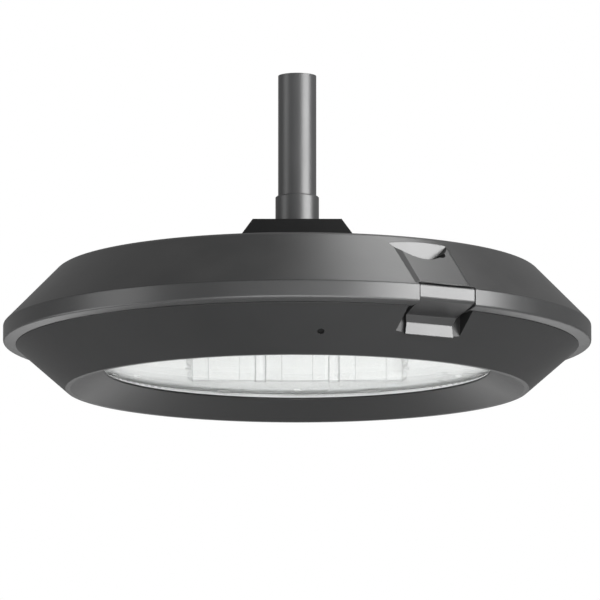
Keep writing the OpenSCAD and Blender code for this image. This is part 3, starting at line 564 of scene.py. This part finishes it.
screws = screw_tree()
socket_screws("clip", "door", head_radius=0.003, head_height=0.0012, heads_up=True)
socket_screws("apron", "housing", head_radius=0.004, head_height=0.0016, heads_up=False)
socket_screws("heat_sink", "housing", head_radius=0.005, head_height=0.004, heads_up=False)
socket_screws("block", "housing", head_radius=0.006, head_height=0.0048, heads_up=False)
socket_screws("tray", "housing", head_radius=0.004, head_height=0.0016, heads_up=True)
light_chips()


# Studio

def seen_share(tree):
    """How far a ray sees the white surround: all of it straight or through glass, a little in a mirroring."""
    path = add_node(tree, "ShaderNodeLightPath").outputs
    straight = maths(tree, "MAXIMUM", path["Is Camera Ray"], path["Is Transmission Ray"])
    mirrored_share = 0.15
    mirrored = maths(tree, "MULTIPLY", path["Is Glossy Ray"], mirrored_share)
    return maths(tree, "MAXIMUM", straight, mirrored)


def floor_paper():
    """Pale paper that looks white far off, and that a view from below looks through."""
    material, tree, shader, out = new_finish(
        "floor paper", Roughness=0.9, Specular_IOR_Level=0.2, Emission_Strength=1.0)
    grain = use_group(tree, powder_grain, grain_size=0.003, peel_size=0.02)
    tree.links.new(blended(tree, grain["Tone"], grey(0.84), grey(0.88)), shader.inputs["Base Color"])
    distance = add_node(tree, "ShaderNodeVectorMath", {"operation": "LENGTH"}, {
        0: object_place(tree)}).outputs["Value"]
    near = 3.0
    far = 14.0
    paper = blended(tree, mapped(tree, distance, near, far, 0.0, 1.0), grey(0.6), grey(0.82))
    tree.links.new(blended(tree, seen_share(tree), grey(0.0), paper), shader.inputs["Emission Color"])
    under = add_node(tree, "ShaderNodeNewGeometry").outputs["Backfacing"]
    mixed_shader(tree, out, under, shader, add_node(tree, "ShaderNodeBsdfTransparent"))
    return material


def plain_stage():
    """A wide pale floor well below the lamp, and a white surround that lights the lamp softly."""
    reach = 60.0
    drop = -1.5
    mesh = bpy.data.meshes.new("floor")
    corners = [(x * reach, y * reach, drop) for x, y in ((-1, -1), (1, -1), (1, 1), (-1, 1))]
    mesh.from_pydata(corners, [], [(0, 1, 2, 3)])
    mesh.materials.append(floor_paper())
    floor = bpy.data.objects.new("floor", mesh)
    scene.collection.objects.link(floor)

    world = bpy.data.worlds.new("studio")
    world.use_nodes = True
    tree = world.node_tree
    tree.nodes.clear()
    soft_light = 0.22
    strength = mapped(tree, seen_share(tree), 0.0, 1.0, soft_light, 1.0)
    background = add_node(tree, "ShaderNodeBackground", None, {"Color": grey(1.0), "Strength": strength})
    add_node(tree, "ShaderNodeOutputWorld", None, {"Surface": background.outputs[0]})
    scene.world = world


def held(name, data, place, back):
    """Puts a lamp or camera at a place, with its back to a direction."""
    holder = bpy.data.objects.new(name, data)
    holder.matrix_world = Matrix.Translation(place) @ back.to_track_quat("Z", "Y").to_matrix().to_4x4()
    scene.collection.objects.link(holder)
    return holder


def area_light(name, aim, azimuth, elevation, distance, size, power):
    """A soft lamp of a given width and height that points at a place; azimuth -90 is the camera's side."""
    lamp = bpy.data.lights.new(name, "AREA")
    lamp.shape = "RECTANGLE"
    lamp.size, lamp.size_y = size
    lamp.energy = power
    turn = math.radians(azimuth)
    rise = math.radians(elevation)
    out = Vector((math.cos(turn) * math.cos(rise), math.sin(turn) * math.cos(rise), math.sin(rise)))
    held(name, lamp, Vector(aim) + out * distance, out)


def camera():
    """A camera far off on the front side and nine degrees under the lamp, as a passer-by sees it."""
    rise = math.radians(-9.1)
    distance = 9.0
    picture_width = 0.6637
    aim = Vector((0.0031, 0.0, 0.0999))
    back = Vector((0.0, -math.cos(rise), math.sin(rise)))
    data = bpy.data.cameras.new("camera")
    data.sensor_width = 36
    data.lens = data.sensor_width * distance / picture_width
    data.clip_end = 100
    scene.camera = held("camera", data, aim + back * distance, back)


scene.view_settings.view_transform = "Standard"
plain_stage()
middle = (0.0, 0.0, 0.12)
latch_side = (0.103, -0.308, 0.08)
area_light("key", middle, -37, 9, 3.0, (2.6, 1.05), 142)
area_light("overhead", latch_side, 42, 70, 0.9, (0.4, 0.4), 2.6)
area_light("underlight", middle, -86, -26, 2.2, (2.4, 1.8), 66)
area_light("fill", middle, -160, 10, 3.2, (1.6, 1.6), 20)
area_light("low side", middle, -176, -24, 2.4, (1.6, 1.2), 20)
area_light("behind and below", middle, 90, -29, 2.4, (1.9, 0.8), 6.5)
camera()
